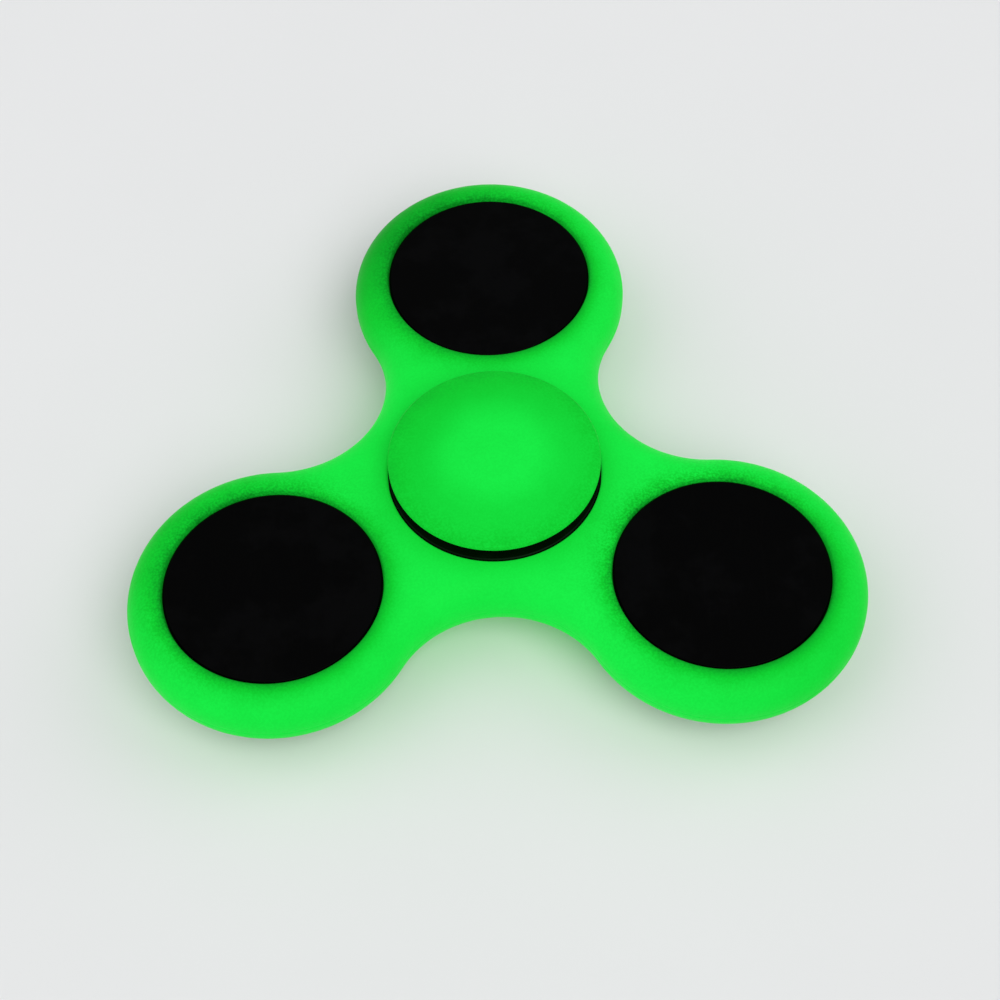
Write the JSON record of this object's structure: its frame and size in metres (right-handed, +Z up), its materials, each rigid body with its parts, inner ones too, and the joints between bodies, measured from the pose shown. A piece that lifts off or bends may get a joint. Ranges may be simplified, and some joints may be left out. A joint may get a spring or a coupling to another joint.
{
  "type": "fidget spinner",
  "caption": "Palm-sized finger spinner: a moulded glow-in-the-dark frame with weighted round lobes turns on a ball bearing between domed finger caps.",
  "frame": {"origin": "middle of the lower finger cap's flat crown, on the spin axis; the spinner stands on this face", "axes": "+Z up along the spin axis; +Y towards the first lobe"},
  "size_m": [0.0746, 0.0686, 0.0136],
  "materials": {
    "glow_plastic": "smooth moulded phosphorescent green plastic, satin gloss, giving out a soft green light of its own",
    "black_cover": "black moulded plastic, satin face with a polished bevel",
    "slug_steel": "turned steel, plain",
    "bearing_steel": "ground and polished bearing steel",
    "pressed_steel": "pressed sheet steel, lightly oiled"
  },
  "bodies": {
    "core": {"finger_cap_top": "glow_plastic", "finger_cap_bottom": "glow_plastic", "bearing_inner_race": "bearing_steel"},
    "rotor": {"spinner_frame": "glow_plastic", "bearing_outer_race": "bearing_steel", "shield_upper": "pressed_steel", "shield_lower": "pressed_steel", "snap_ring_upper": "pressed_steel", "snap_ring_lower": "pressed_steel", "lobe_slug_1": "slug_steel", "lobe_slug_2": "slug_steel", "lobe_slug_3": "slug_steel", "lobe_cover_top_1": "black_cover", "lobe_cover_bottom_1": "black_cover", "lobe_cover_top_2": "black_cover", "lobe_cover_bottom_2": "black_cover", "lobe_cover_top_3": "black_cover", "lobe_cover_bottom_3": "black_cover"},
    "cage": {"cage_upper": "pressed_steel", "cage_lower": "pressed_steel", "cage_rivet_1": "pressed_steel", "cage_rivet_2": "pressed_steel", "cage_rivet_3": "pressed_steel", "cage_rivet_4": "pressed_steel", "cage_rivet_5": "pressed_steel", "cage_rivet_6": "pressed_steel", "cage_rivet_7": "pressed_steel"},
    "ball_1": {"bearing_ball_1": "bearing_steel"},
    "ball_2": {"bearing_ball_2": "bearing_steel"},
    "ball_3": {"bearing_ball_3": "bearing_steel"},
    "ball_4": {"bearing_ball_4": "bearing_steel"},
    "ball_5": {"bearing_ball_5": "bearing_steel"},
    "ball_6": {"bearing_ball_6": "bearing_steel"},
    "ball_7": {"bearing_ball_7": "bearing_steel"}
  },
  "joints": [
    {"name": "spin", "type": "hinge", "parent": "core", "child": "rotor", "pos_m": [0, 0, 0.0068], "axis": [0, 0, 1], "continuous": true},
    {"name": "cage_turn", "type": "hinge", "parent": "core", "child": "cage", "pos_m": [0, 0, 0.0068], "axis": [0, 0, 1], "continuous": true},
    {"name": "ball_roll_1", "type": "hinge", "parent": "cage", "child": "ball_1", "pos_m": [0.0075, 0, 0.0068], "axis": [0, 0, 1], "continuous": true},
    {"name": "ball_roll_2", "type": "hinge", "parent": "cage", "child": "ball_2", "pos_m": [0.00468, 0.00586, 0.0068], "axis": [0, 0, 1], "continuous": true},
    {"name": "ball_roll_3", "type": "hinge", "parent": "cage", "child": "ball_3", "pos_m": [-0.00167, 0.00731, 0.0068], "axis": [0, 0, 1], "continuous": true},
    {"name": "ball_roll_4", "type": "hinge", "parent": "cage", "child": "ball_4", "pos_m": [-0.00676, 0.00325, 0.0068], "axis": [0, 0, 1], "continuous": true},
    {"name": "ball_roll_5", "type": "hinge", "parent": "cage", "child": "ball_5", "pos_m": [-0.00676, -0.00325, 0.0068], "axis": [0, 0, 1], "continuous": true},
    {"name": "ball_roll_6", "type": "hinge", "parent": "cage", "child": "ball_6", "pos_m": [-0.00167, -0.00731, 0.0068], "axis": [0, 0, 1], "continuous": true},
    {"name": "ball_roll_7", "type": "hinge", "parent": "cage", "child": "ball_7", "pos_m": [0.00468, -0.00586, 0.0068], "axis": [0, 0, 1], "continuous": true}
  ],
  "couplings": [
    {"joint": "cage_turn", "follows": "spin", "ratio": 0.63227},
    {"joint": "ball_roll_1", "follows": "spin", "ratio": 1.7579},
    {"joint": "ball_roll_2", "follows": "spin", "ratio": 1.7579},
    {"joint": "ball_roll_3", "follows": "spin", "ratio": 1.7579},
    {"joint": "ball_roll_4", "follows": "spin", "ratio": 1.7579},
    {"joint": "ball_roll_5", "follows": "spin", "ratio": 1.7579},
    {"joint": "ball_roll_6", "follows": "spin", "ratio": 1.7579},
    {"joint": "ball_roll_7", "follows": "spin", "ratio": 1.7579}
  ]
}
